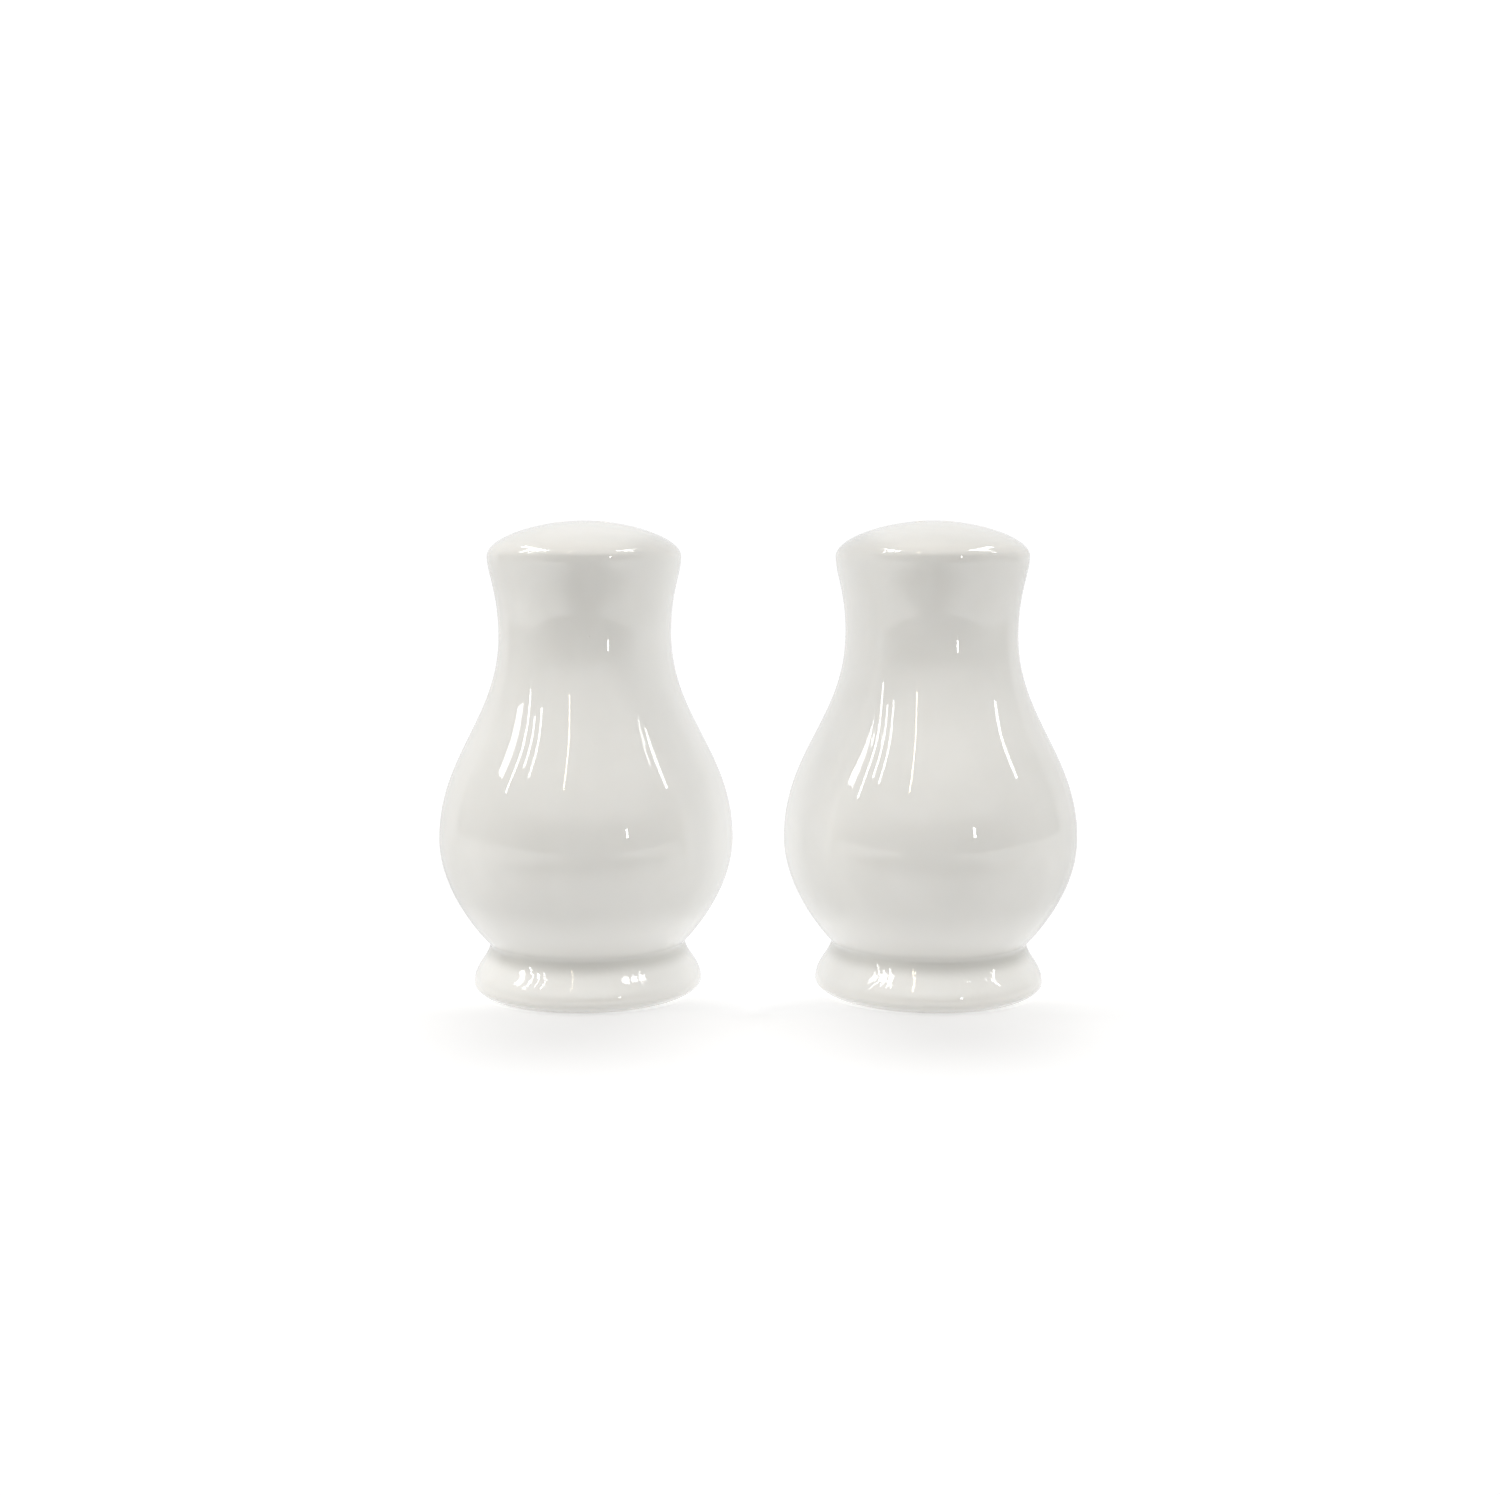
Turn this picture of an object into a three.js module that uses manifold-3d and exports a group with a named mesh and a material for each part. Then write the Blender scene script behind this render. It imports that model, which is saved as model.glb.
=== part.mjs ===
// Salt and pepper shakers: two glazed porcelain bodies, each closed by a push-in stopper under its foot.
// Millimetres, +Z up. The origin is on the table, midway between the shakers. Salt stands at -X, pepper at +X.

import * as THREE from "three";
import { mergeVertices } from "three/addons/utils/BufferGeometryUtils.js";
import Module from "manifold-3d";

const wasm = await Module();
wasm.setup();

// Driving dimensions.
const SPACING = 58.6; // between the two shakers' axes
const HEIGHT = 80; // foot ring to the top of the dome
const WALL = 3.4; // porcelain thickness, measured square to the outside
const SIDES = 32; // facets around each axis, a multiple of 4 so that the extents are exact

// Stations where the outline runs straight up: its widest and narrowest rings.
// above and below are how far the curve holds that direction on each side.
const SHOULDER = { r: 16.3, z: 74.0, above: 3.1, below: 3.0 };
const NECK = { r: 14.55, z: 61.1, above: 7.1, below: 14.3 };
const BELLY = { r: 24.95, z: 26.25, above: 14.6, below: 9.15 };
const FOOT = { r: 19.45, z: 1.7, above: 2.1, below: 0.95 };
const DOME_REACH = 7.9; // how far the dome stays level from its top
const CEILING_REACH = 6.5; // the same for the cavity's ceiling
const CEILING_CORNER = 2.2; // how far the cavity's side wall runs on upwards into its ceiling

// The crease where the belly meets the foot. Leans are angles from upright, and reaches are curve handles.
const CREASE = { r: 16.6, z: 8.4, bellyLean: 47.4, bellyReach: 1.15, footLean: 11.6, footReach: 2.2 };

// Underside: a flat foot ring around a recess, with the filling hole in the recess's ceiling.
const RING_OUTER_R = 17.65;
const RING_INNER_R = 15.3;
const RECESS_R = 13.6;
const RECESS_DEPTH = 3.0;
const RECESS_FILLET = 1.0;
const HOLE_R = 9.5;
const HOLE_ROUND = 0.5; // glaze-softened edges of the filling hole
const FLOOR_Z = RECESS_DEPTH + WALL;
const FLOOR_FILLET = 1.5;

// Pour holes through the dome, evenly spaced on a circle, the first one at the back.
const SALT_HOLES = { count: 3, circleR: 4.0, r: 1.15 };
const PEPPER_HOLES = { count: 5, circleR: 4.2, r: 0.8 };
const POUR_HOLE_SIDES = 12;

// Stopper: a flange, a hollow plug that is open at the bottom, and a web across it to pull by.
const CLEARANCE = 0.3; // left between the stopper and the porcelain
const FLANGE_R = 12.4;
const FLANGE_THICKNESS = 1.2;
const FLANGE_TOP = RECESS_DEPTH - CLEARANCE;
const FLANGE_BOTTOM = FLANGE_TOP - FLANGE_THICKNESS;
const PLUG_R = HOLE_R - 0.6;
const BEAD_R = HOLE_R - CLEARANCE; // sealing beads around the plug
const BEAD_Z = [4.4, 7.4];
const BEAD_HALF = 0.55;
const PLUG_TOP = 9.8;
const PLUG_LEAD = 0.9; // rounded lead-in at the plug's upper edge
const PLUG_WALL = 1.5;
const WEB_THICKNESS = 1.8;
const WEB_BITE = 0.6; // how far the web runs into the plug's wall and top

const v = (r, z) => new THREE.Vector2(r, z);
const rad = THREE.MathUtils.degToRad;

// The curve from one station down to the next, without its first point.
function curveDown(upper, lower, steps) {
  const curve = new THREE.CubicBezierCurve(
    v(upper.r, upper.z),
    v(upper.r, upper.z - upper.below),
    v(lower.r, lower.z + lower.above),
    v(lower.r, lower.z),
  );
  return curve.getPoints(steps).slice(1);
}

// A quarter turn of radius size around (r, z), from one angle to another in degrees, 0 pointing outwards.
function roundAt(r, z, size, from, to, steps) {
  const arc = new THREE.EllipseCurve(r, z, size, size, rad(from), rad(to), to < from);
  return arc.getPoints(steps);
}

// Outside of the body from the top of the dome down to the crease.
function upperOutline() {
  const dome = new THREE.CubicBezierCurve(
    v(0, HEIGHT),
    v(DOME_REACH, HEIGHT),
    v(SHOULDER.r, SHOULDER.z + SHOULDER.above),
    v(SHOULDER.r, SHOULDER.z),
  );
  const lean = rad(CREASE.bellyLean);
  const underBelly = new THREE.CubicBezierCurve(
    v(BELLY.r, BELLY.z),
    v(BELLY.r, BELLY.z - BELLY.below),
    v(CREASE.r + CREASE.bellyReach * Math.sin(lean), CREASE.z + CREASE.bellyReach * Math.cos(lean)),
    v(CREASE.r, CREASE.z),
  );
  return [
    ...dome.getPoints(8),
    ...curveDown(SHOULDER, NECK, 4),
    ...curveDown(NECK, BELLY, 7),
    ...underBelly.getPoints(5).slice(1),
  ];
}

// Outside of the foot, from under the crease to the edge of the foot ring.
function footOutline() {
  const lean = rad(CREASE.footLean);
  const flare = new THREE.CubicBezierCurve(
    v(CREASE.r, CREASE.z),
    v(CREASE.r + CREASE.footReach * Math.sin(lean), CREASE.z - CREASE.footReach * Math.cos(lean)),
    v(FOOT.r, FOOT.z + FOOT.above),
    v(FOOT.r, FOOT.z),
  );
  const underEdge = new THREE.CubicBezierCurve(
    v(FOOT.r, FOOT.z),
    v(FOOT.r, FOOT.z - FOOT.below),
    v(RING_OUTER_R + 0.2, 0),
    v(RING_OUTER_R, 0),
  );
  return [...flare.getPoints(3).slice(1), ...underEdge.getPoints(2).slice(1)];
}

// The cavity wall from its ceiling down to the crease. Below the shoulder it is the outline moved inwards by
// WALL. The shoulder turns more tightly than WALL, so the ceiling has a curve of its own there.
function cavityWall() {
  const outline = upperOutline();
  const moved = outline.map((p, i) => {
    const before = outline[Math.max(i - 1, 0)];
    const after = outline[Math.min(i + 1, outline.length - 1)];
    const along = after.clone().sub(before).normalize();
    return v(p.x + WALL * along.y, p.y - WALL * along.x);
  });
  const sides = moved.filter((p, i) => outline[i].y < SHOULDER.z);
  const top = sides[0];
  const ceiling = new THREE.CubicBezierCurve(
    v(0, HEIGHT - WALL),
    v(CEILING_REACH, HEIGHT - WALL),
    v(top.x, top.y + CEILING_CORNER),
    top,
  );
  return [...ceiling.getPoints(6).slice(0, -1), ...sides];
}

// Underside and inside of the body, from the foot ring up to the cavity wall.
function undersideOutline() {
  const neckR = CREASE.r - WALL;
  return [
    v(RING_INNER_R, 0),
    ...roundAt(RECESS_R - RECESS_FILLET, RECESS_DEPTH - RECESS_FILLET, RECESS_FILLET, 0, 90, 2),
    ...roundAt(HOLE_R + HOLE_ROUND, RECESS_DEPTH + HOLE_ROUND, HOLE_ROUND, 270, 180, 1),
    ...roundAt(HOLE_R + HOLE_ROUND, FLOOR_Z - HOLE_ROUND, HOLE_ROUND, 180, 90, 1),
    ...roundAt(neckR - FLOOR_FILLET, FLOOR_Z + FLOOR_FILLET, FLOOR_FILLET, 270, 360, 2),
  ];
}

// A closed mesh with only positions, as a solid that can be joined and cut.
function toSolid(geometry) {
  const bare = geometry.clone();
  bare.deleteAttribute("normal");
  bare.deleteAttribute("uv");
  const merged = mergeVertices(bare);
  return new wasm.Manifold(
    new wasm.Mesh({
      numProp: 3,
      vertProperties: new Float32Array(merged.attributes.position.array),
      triVerts: new Uint32Array(merged.index.array),
    }),
  );
}

function toGeometry(solid) {
  const mesh = solid.getMesh();
  const geometry = new THREE.BufferGeometry();
  geometry.setAttribute("position", new THREE.BufferAttribute(mesh.vertProperties, 3));
  geometry.setIndex(new THREE.BufferAttribute(mesh.triVerts, 1));
  geometry.computeVertexNormals();
  return geometry;
}

// A profile of (radius, height) points turned around the Z axis.
function turned(profile) {
  return new THREE.LatheGeometry(profile, SIDES).rotateX(Math.PI / 2);
}

function cylinder(r, bottom, top, sides) {
  return new THREE.CylinderGeometry(r, r, top - bottom, sides)
    .rotateX(Math.PI / 2)
    .translate(0, 0, (bottom + top) / 2);
}

function bodyGeometry(holes) {
  // The crease is left out of the cavity wall, because the floor's fillet takes its place.
  const profile = [
    ...upperOutline(),
    ...footOutline(),
    ...undersideOutline(),
    ...cavityWall().slice(0, -1).reverse(),
  ];
  let body = toSolid(turned(profile.reverse()));
  for (let i = 0; i < holes.count; i++) {
    const angle = rad(90 + (360 / holes.count) * i);
    const drill = cylinder(holes.r, HEIGHT - 3 * WALL, HEIGHT + WALL, POUR_HOLE_SIDES)
      .translate(holes.circleR * Math.cos(angle), holes.circleR * Math.sin(angle), 0);
    body = body.subtract(toSolid(drill));
  }
  return toGeometry(body);
}

function stopperGeometry() {
  const beads = BEAD_Z.flatMap((z) => [
    v(PLUG_R, z - BEAD_HALF),
    v(BEAD_R, z),
    v(PLUG_R, z + BEAD_HALF),
  ]);
  const hollowR = PLUG_R - PLUG_WALL;
  const hollowTop = PLUG_TOP - PLUG_WALL;
  const profile = [
    v(0, hollowTop),
    v(hollowR, hollowTop),
    v(hollowR, FLANGE_BOTTOM),
    ...roundAt(FLANGE_R - FLANGE_THICKNESS / 2, FLANGE_BOTTOM + FLANGE_THICKNESS / 2,
      FLANGE_THICKNESS / 2, -90, 90, 2),
    v(PLUG_R, FLANGE_TOP),
    ...beads,
    ...roundAt(PLUG_R - PLUG_LEAD, PLUG_TOP - PLUG_LEAD, PLUG_LEAD, 0, 90, 2),
    v(0, PLUG_TOP),
  ];
  const web = new THREE.BoxGeometry(
    2 * (hollowR + WEB_BITE),
    WEB_THICKNESS,
    hollowTop + WEB_BITE - FLANGE_BOTTOM,
  ).translate(0, 0, (hollowTop + WEB_BITE + FLANGE_BOTTOM) / 2);
  return toGeometry(toSolid(turned(profile)).add(toSolid(web)));
}

const porcelain = new THREE.MeshStandardMaterial({ color: 0xf1f0ec, roughness: 0.08, metalness: 0 });
const plastic = new THREE.MeshStandardMaterial({ color: 0xe4e4de, roughness: 0.45, metalness: 0 });

function named(name, geometry, material) {
  const mesh = new THREE.Mesh(geometry, material);
  mesh.name = name;
  return mesh;
}

function shaker(name, x, holes) {
  const group = new THREE.Group();
  group.add(named(`${name}_body`, bodyGeometry(holes), porcelain));
  group.add(named(`${name}_stopper`, stopperGeometry(), plastic));
  group.position.x = x;
  return group;
}

const pair = new THREE.Group();
pair.add(shaker("salt", -SPACING / 2, SALT_HOLES));
pair.add(shaker("pepper", SPACING / 2, PEPPER_HOLES));

export default pair;
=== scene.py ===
import math

import bmesh
import bpy
import numpy as np
from mathutils import Matrix, Vector, noise
from mathutils.geometry import delaunay_2d_cdt


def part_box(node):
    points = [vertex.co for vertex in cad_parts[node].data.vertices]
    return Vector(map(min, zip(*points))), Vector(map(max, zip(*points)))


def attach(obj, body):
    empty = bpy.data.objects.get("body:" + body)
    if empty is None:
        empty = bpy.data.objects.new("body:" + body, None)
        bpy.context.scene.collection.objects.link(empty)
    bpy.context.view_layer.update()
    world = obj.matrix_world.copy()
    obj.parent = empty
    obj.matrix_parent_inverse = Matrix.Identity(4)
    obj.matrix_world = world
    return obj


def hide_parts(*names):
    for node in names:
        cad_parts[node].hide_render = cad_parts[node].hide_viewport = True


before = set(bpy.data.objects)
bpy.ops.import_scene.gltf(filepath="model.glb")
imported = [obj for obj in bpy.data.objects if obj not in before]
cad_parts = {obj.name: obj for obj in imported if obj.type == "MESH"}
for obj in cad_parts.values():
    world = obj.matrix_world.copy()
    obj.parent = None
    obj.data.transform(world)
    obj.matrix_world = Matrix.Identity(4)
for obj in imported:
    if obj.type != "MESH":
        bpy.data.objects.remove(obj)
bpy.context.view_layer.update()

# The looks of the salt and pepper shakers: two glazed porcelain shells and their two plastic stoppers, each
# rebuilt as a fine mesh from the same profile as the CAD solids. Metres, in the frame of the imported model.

MM = 0.001

# Driving dimensions of the body, as in the CAD source. Only the foot's flare is drawn a little tighter, by
# its two curve handles, FOOT's above and CREASE_FOOT's reach, and that moves it by under 0.1 mm.
HEIGHT = 80.0 * MM
WALL = 3.4 * MM
SHOULDER = {"r": 16.3 * MM, "z": 74.0 * MM, "above": 3.1 * MM, "below": 3.0 * MM}
NECK = {"r": 14.55 * MM, "z": 61.1 * MM, "above": 7.1 * MM, "below": 14.3 * MM}
BELLY = {"r": 24.95 * MM, "z": 26.25 * MM, "above": 14.6 * MM, "below": 9.15 * MM}
FOOT = {"r": 19.45 * MM, "z": 1.7 * MM, "above": 2.7 * MM, "below": 0.95 * MM}
DOME_REACH = 7.9 * MM
CEILING_REACH = 6.5 * MM
CEILING_CORNER = 2.2 * MM
CREASE = {"r": 16.6 * MM, "z": 8.4 * MM}
CREASE_BELLY = {"lean": math.radians(47.4), "reach": 1.15 * MM}
CREASE_FOOT = {"lean": math.radians(11.6), "reach": 3.0 * MM}
CREASE_GLAZE = 0.6 * MM  # how far from the crease the glaze starts to fill it
CAVITY_BELOW = 1.5 * MM  # the cavity's sides start this far below the shoulder

# Underside.
RING_OUTER_R = 17.65 * MM
RING_INNER_R = 15.3 * MM
RING_ROUND = 0.35 * MM
RING_REACH = 0.2 * MM  # how far the foot's edge runs level before it meets the ring
RECESS_R = 13.6 * MM
RECESS_DEPTH = 3.0 * MM
RECESS_FILLET = 1.0 * MM
HOLE_R = 9.5 * MM
HOLE_ROUND = 0.5 * MM
FLOOR_Z = RECESS_DEPTH + WALL
FLOOR_FILLET = 1.5 * MM

# Pour holes. The lip is the glaze's round edge, on both sides of each hole.
SALT_HOLES = {"count": 3, "circle": 4.0 * MM, "r": 1.15 * MM, "lip": 0.45 * MM}
PEPPER_HOLES = {"count": 5, "circle": 4.2 * MM, "r": 0.8 * MM, "lip": 0.4 * MM}
CAP_R = 7.0 * MM  # the holes lie inside this radius, where the dome is a cap of its own

# Stopper.
CLEARANCE = 0.3 * MM
FLANGE_R = 12.4 * MM
FLANGE_THICKNESS = 1.2 * MM
FLANGE_TOP = RECESS_DEPTH - CLEARANCE
FLANGE_BOTTOM = FLANGE_TOP - FLANGE_THICKNESS
PLUG_R = HOLE_R - 0.6 * MM
BEAD_R = HOLE_R - CLEARANCE
BEAD_Z = (4.4 * MM, 7.4 * MM)
BEAD_HALF = 0.55 * MM
PLUG_TOP = 9.8 * MM
PLUG_LEAD = 0.9 * MM
PLUG_WALL = 1.5 * MM
WEB_THICKNESS = 1.8 * MM

BEAD_CROWN = 0.1 * MM  # how far a bead's curve handles stand out past BEAD_R
MOULD_ROUND = 0.12 * MM  # softened edges of the stopper
MOULD_ANGLE = math.radians(30)  # a profile that turns by more than this has an edge to soften
WEB_INSET = 0.15 * MM  # the web stops this far above the flange's face
GATE_R = 1.6 * MM  # dimple where the plastic was injected
GATE_DEPTH = 0.3 * MM
SHARP_ANGLE = math.radians(35)  # edges of the stopper that are shaded as edges

# Fineness of the meshes, as segments around an axis, steps along a curve, and the cap's point spacing.
SEGMENTS = 144
HOLE_SEGMENTS = 28
OUTSIDE_STEPS = {"dome": 60, "neck": 22, "belly": 40, "under_belly": 30, "foot": 14, "edge": 8}
CAVITY_STEPS = {"ceiling": 30, "neck": 10, "belly": 20, "under_belly": 16}
READING_STEPS = 400  # along a curve that heights are read from
CREASE_STEPS = 8
ROUND_STEPS = 5
FILLET_STEPS = 6
HALF_ROUND_STEPS = 10
BEAD_STEPS = 10
LEAD_STEPS = 8
SOFTENED_STEPS = 3
CAP_STEP = 0.5 * MM
IN_GAP = 0.999  # a cap's triangle whose middle is within this share of the gap's radius is left out
SAME_POINT = 0.01 * MM  # curves whose ends are closer than this share that point
WELD_DISTANCE = 0.002 * MM

# The glaze is wiped off the foot ring, up to BARE_HEIGHT above it and BARE_PAST_RING outside it.
BARE_HEIGHT = 0.12 * MM
BARE_PAST_RING = 0.5 * MM

# Where the glaze pools, with painted shade in the crease, and where it runs thin: how far from the curve's
# station, and over what distance.
POOL_AND_SHADE_FROM_CREASE = (0.3 * MM, -0.9 * MM)
POOL_AND_SHADE_SIZE = 1.3 * MM
THIN_FROM_SHOULDER = (-0.5 * MM, 1.2 * MM)
THIN_AT_SHOULDER = 1.4 * MM
THIN_AT_FOOT = 1.1 * MM
THIN_AT_HOLES = 0.3 * MM
THIN_IN_LIP = 0.3  # share of the lip, from the hole's wall, where the glaze is thinnest

# Painted light: the glaze is painted a little whiter low down, in place of more light on the foot.
PAINTED_LIGHT_FROM = 18 * MM
PAINTED_LIGHT_FULL = 12 * MM
PAINTED_LIGHT_SHARE = 0.85

# Ripples in the foot's glaze: their depth, waves per metre, and the height below which they fade in.
FOOT_RIPPLE = 0.045 * MM
FOOT_RIPPLE_SCALE = 620
FOOT_RIPPLE_TOP = 8.0 * MM
FOOT_RIPPLE_FADE = 1.5 * MM

# Colours, as linear red, green and blue.
GLAZE_DARKER = (0.695, 0.688, 0.656)
GLAZE_LIGHTER = (0.72, 0.713, 0.682)
# Painted light: a whiter glaze for low down.
GLAZE_PAINTED_LIGHT_LOW = (0.805, 0.797, 0.765)
# Painted shade, on top of the thick glaze's own tint: a darker glaze for the crease.
GLAZE_POOLED_AND_SHADED = (0.56, 0.553, 0.515)
GLAZE_THIN = (0.74, 0.725, 0.685)
CLAY_DARKER = (0.70, 0.675, 0.62)
CLAY_LIGHTER = (0.77, 0.75, 0.70)
CLAY_SCUFFED = (0.52, 0.50, 0.47)
PLASTIC_DARKER = (0.74, 0.745, 0.72)
PLASTIC_LIGHTER = (0.80, 0.80, 0.775)
WHITE = (1, 1, 1)
BLACK = (0, 0, 0)
GLAZE_IOR = 1.52
PLASTIC_IOR = 1.5

# Slip-casting leaves the wall very slightly uneven, less and less down to the foot ring.
WOBBLE = 0.035 * MM
WOBBLE_LENGTH = 17 * MM
WOBBLE_FROM = 0.5 * MM
WOBBLE_FADE = 6 * MM
WOBBLE_SHIFT = (3.7, 1.3, 2.1)  # between one shaker's noise and the next one's

# Studio. The table's extents are from the origin, and brightnesses are radiances, with 1 shown as white.
TABLE_FRONT = 0.30
TABLE_SIDE = 0.7
TABLE_BACK = 0.9
BACKGROUND = 1.05  # what the camera sees past the table

# The table glows. A pool of shade lies on it in front of each foot.
TABLE_ALBEDO = 0.50
TABLE_GLOW = 0.43
TABLE_GLOW_FAR = 0.56
TABLE_FAR = (-0.022, -0.002)  # from where to where the glow rises
UNDER_GLOW = 0.15  # more glow under each foot's round edge
UNDER_EDGE = (18.2 * MM, 19.3 * MM)
SHADE_PLACE = 31 * MM  # in front of each shaker's axis
SHADE_REACH = 36 * MM
SHADE_DEPTH = 0.20

# A glowing card between the shakers, so that neither darkens the other. The glaze mirrors a dimmer one.
BETWEEN_FRONT = -0.018
BETWEEN_BACK = 0.10
BETWEEN_TOP = 0.10
BETWEEN_GLOW = 1.25
BETWEEN_MIRRORED = 0.85

# The tent around the shakers, as (sine of the elevation, brightness). One wall turns into the next between
# two values of how far back a level direction points, from -1 straight to the front to 1 straight back.
TENT_FRONT = ((0.0, 0.05), (0.15, 0.14), (0.41, 0.95), (0.80, 1.02), (0.94, 0.64))
TENT_SIDE = ((0.0, 0.45), (0.30, 0.63), (0.60, 0.88), (0.94, 0.64))
TENT_BACK = ((0.0, 0.84), (0.30, 0.86), (0.60, 0.84), (0.94, 0.64))
FRONT_TO_SIDE = (-1.0, -0.2)
SIDE_TO_BACK = (0.40, 0.45)
TENT_FULL_SCALE = 2.0  # brightness of a colour ramp's white

# Far strip lamps. Azimuth runs from the front towards +X, and every angle is in degrees.
LAMP_DISTANCE = 1.0
LAMP_ENERGY = 4  # watts that give a square metre of lamp a radiance of 1
LAMPS = (
    {"azimuth": -80.5, "low": 27.0, "high": 50, "wide": 6.0, "radiance": 6.0},
    {"azimuth": -68.5, "low": 23.5, "high": 50, "wide": 1.5, "radiance": 10.0},
    {"azimuth": -60.5, "low": 35.0, "high": 52, "wide": 1.4, "radiance": 9.0},
    {"azimuth": -52.5, "low": 34.0, "high": 52, "wide": 1.4, "radiance": 9.0},
    {"azimuth": 79.5, "low": 26.0, "high": 50, "wide": 2.2, "radiance": 10.0},
    {"azimuth": 71.5, "low": 37.0, "high": 50, "wide": 1.2, "radiance": 5.0},
    {"azimuth": -84.0, "low": 50, "high": 55, "wide": 40, "radiance": 9.0},
    {"azimuth": 84.0, "low": 50, "high": 55, "wide": 34, "radiance": 9.0},
)
# Short lamps on both sides, which are only mirrored. The foot catches them.
FOOT_LAMPS = (
    {"azimuth": 54.0, "low": 45.0, "high": 50, "wide": 5.0, "radiance": 10.0},
    {"azimuth": 65.0, "low": 42.6, "high": 49, "wide": 5.0, "radiance": 10.0},
    {"azimuth": 76.0, "low": 40.0, "high": 47, "wide": 5.0, "radiance": 10.0},
)
LAMP_WHITE = (1.0, 0.985, 0.96)
LAMP_AMBER = (1.0, 0.84, 0.62)
# Near strip lamps, upright, between two heights.
NEAR_LAMPS = (
    {"x": -0.122, "bottom": 0.275, "top": 0.50, "width": 0.0065, "radiance": 14.0, "colour": LAMP_AMBER},
    {"x": 0.216, "bottom": 0.060, "top": 0.104, "width": 0.012, "radiance": 16.0, "colour": LAMP_WHITE},
)
NEAR_LAMP_Y = -0.348

# A thin cover over the table that only the glaze mirrors. It dims the table's reflection in front of each
# shaker, and a little behind them, where the silhouettes mirror it.
COVER_HEIGHT = 0.4 * MM
COVER_NEAR = 0.040  # in front of the middle, where it starts to darken
COVER_FULL = 0.105  # from here on it is as dark as it gets
COVER_SPREAD = 0.12  # sideways from each shaker, to where it is at its brightest
COVER_DARK = 0.0
COVER_BRIGHT = 1.0
COVER_BEHIND = 0.82
COVER_FADE = 0.03  # how far behind the middle the cover reaches that brightness

# Camera: a close-up from just below the shoulders' height.
CAMERA_PLACE = (-0.0014, -0.3, 0.0728)
CAMERA_TILT = 5.93  # degrees downwards
CAMERA_LENS = 42.5
CAMERA_CLIP = 0.01


# ------------------------------------------------------------ profile curves, as arrays of (r, z)


def bezier(a, b, c, d, steps):
    """Points of a cubic Bezier curve, both ends included."""
    t = np.linspace(0, 1, steps + 1)[:, None]
    a, b, c, d = (np.array(p, float) for p in (a, b, c, d))
    return (1 - t) ** 3 * a + 3 * (1 - t) ** 2 * t * b + 3 * (1 - t) * t**2 * c + t**3 * d


def curve_down(upper, lower, steps):
    """The outline from one upright station down to the next."""
    return bezier(
        (upper["r"], upper["z"]),
        (upper["r"], upper["z"] - upper["below"]),
        (lower["r"], lower["z"] + lower["above"]),
        (lower["r"], lower["z"]),
        steps,
    )


def arc(r, z, size, start, end, steps):
    """A round of radius size about (r, z), between two angles in degrees, 0 pointing outwards."""
    t = np.radians(np.linspace(start, end, steps + 1))
    return np.stack([r + size * np.cos(t), z + size * np.sin(t)], 1)


def joined(*parts):
    """Curves end to end, without the points that they share."""
    points = []
    for part in parts:
        points += [p for p in part if not points or math.dist(p, points[-1]) > SAME_POINT]
    return np.array(points, float)


def dome_curve(steps):
    return bezier(
        (0, HEIGHT),
        (DOME_REACH, HEIGHT),
        (SHOULDER["r"], SHOULDER["z"] + SHOULDER["above"]),
        (SHOULDER["r"], SHOULDER["z"]),
        steps,
    )


def under_belly(steps):
    lean, reach = CREASE_BELLY["lean"], CREASE_BELLY["reach"]
    return bezier(
        (BELLY["r"], BELLY["z"]),
        (BELLY["r"], BELLY["z"] - BELLY["below"]),
        (CREASE["r"] + reach * math.sin(lean), CREASE["z"] + reach * math.cos(lean)),
        (CREASE["r"], CREASE["z"]),
        steps,
    )


def foot_flare(steps):
    lean, reach = CREASE_FOOT["lean"], CREASE_FOOT["reach"]
    return bezier(
        (CREASE["r"], CREASE["z"]),
        (CREASE["r"] + reach * math.sin(lean), CREASE["z"] - reach * math.cos(lean)),
        (FOOT["r"], FOOT["z"] + FOOT["above"]),
        (FOOT["r"], FOOT["z"]),
        steps,
    )


def rounded_corner(start, corner, end, steps):
    """A smooth curve that cuts a corner off."""
    return bezier(start, (start + 2 * corner) / 3, (end + 2 * corner) / 3, end, steps)


def glazed_crease(belly_side, foot_side):
    """The two curves that meet at the crease, joined by the glaze that lies in it."""
    corner = np.array((CREASE["r"], CREASE["z"]))
    above = belly_side[[math.dist(p, corner) > CREASE_GLAZE for p in belly_side]]
    below = foot_side[[math.dist(p, corner) > CREASE_GLAZE for p in foot_side]]
    return joined(above, rounded_corner(above[-1], corner, below[0], CREASE_STEPS), below)


def surface_height(curve, r):
    """Height of a profile at a radius, for a profile whose radius only grows."""
    return np.interp(r, curve[:, 0], curve[:, 1])


def outer_profile():
    """Outside of the body, from the dome's cap down to the foot ring's outer edge."""
    steps = OUTSIDE_STEPS
    dome = dome_curve(steps["dome"])
    under_edge = bezier(
        (FOOT["r"], FOOT["z"]),
        (FOOT["r"], FOOT["z"] - FOOT["below"]),
        (RING_OUTER_R + RING_REACH, 0),
        (RING_OUTER_R, 0),
        steps["edge"],
    )
    return joined(
        [(CAP_R, surface_height(dome_curve(READING_STEPS), CAP_R))],
        dome[dome[:, 0] > CAP_R + CAP_STEP / 2],
        curve_down(SHOULDER, NECK, steps["neck"]),
        curve_down(NECK, BELLY, steps["belly"]),
        glazed_crease(under_belly(steps["under_belly"]), foot_flare(steps["foot"])),
        under_edge,
    )


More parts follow.
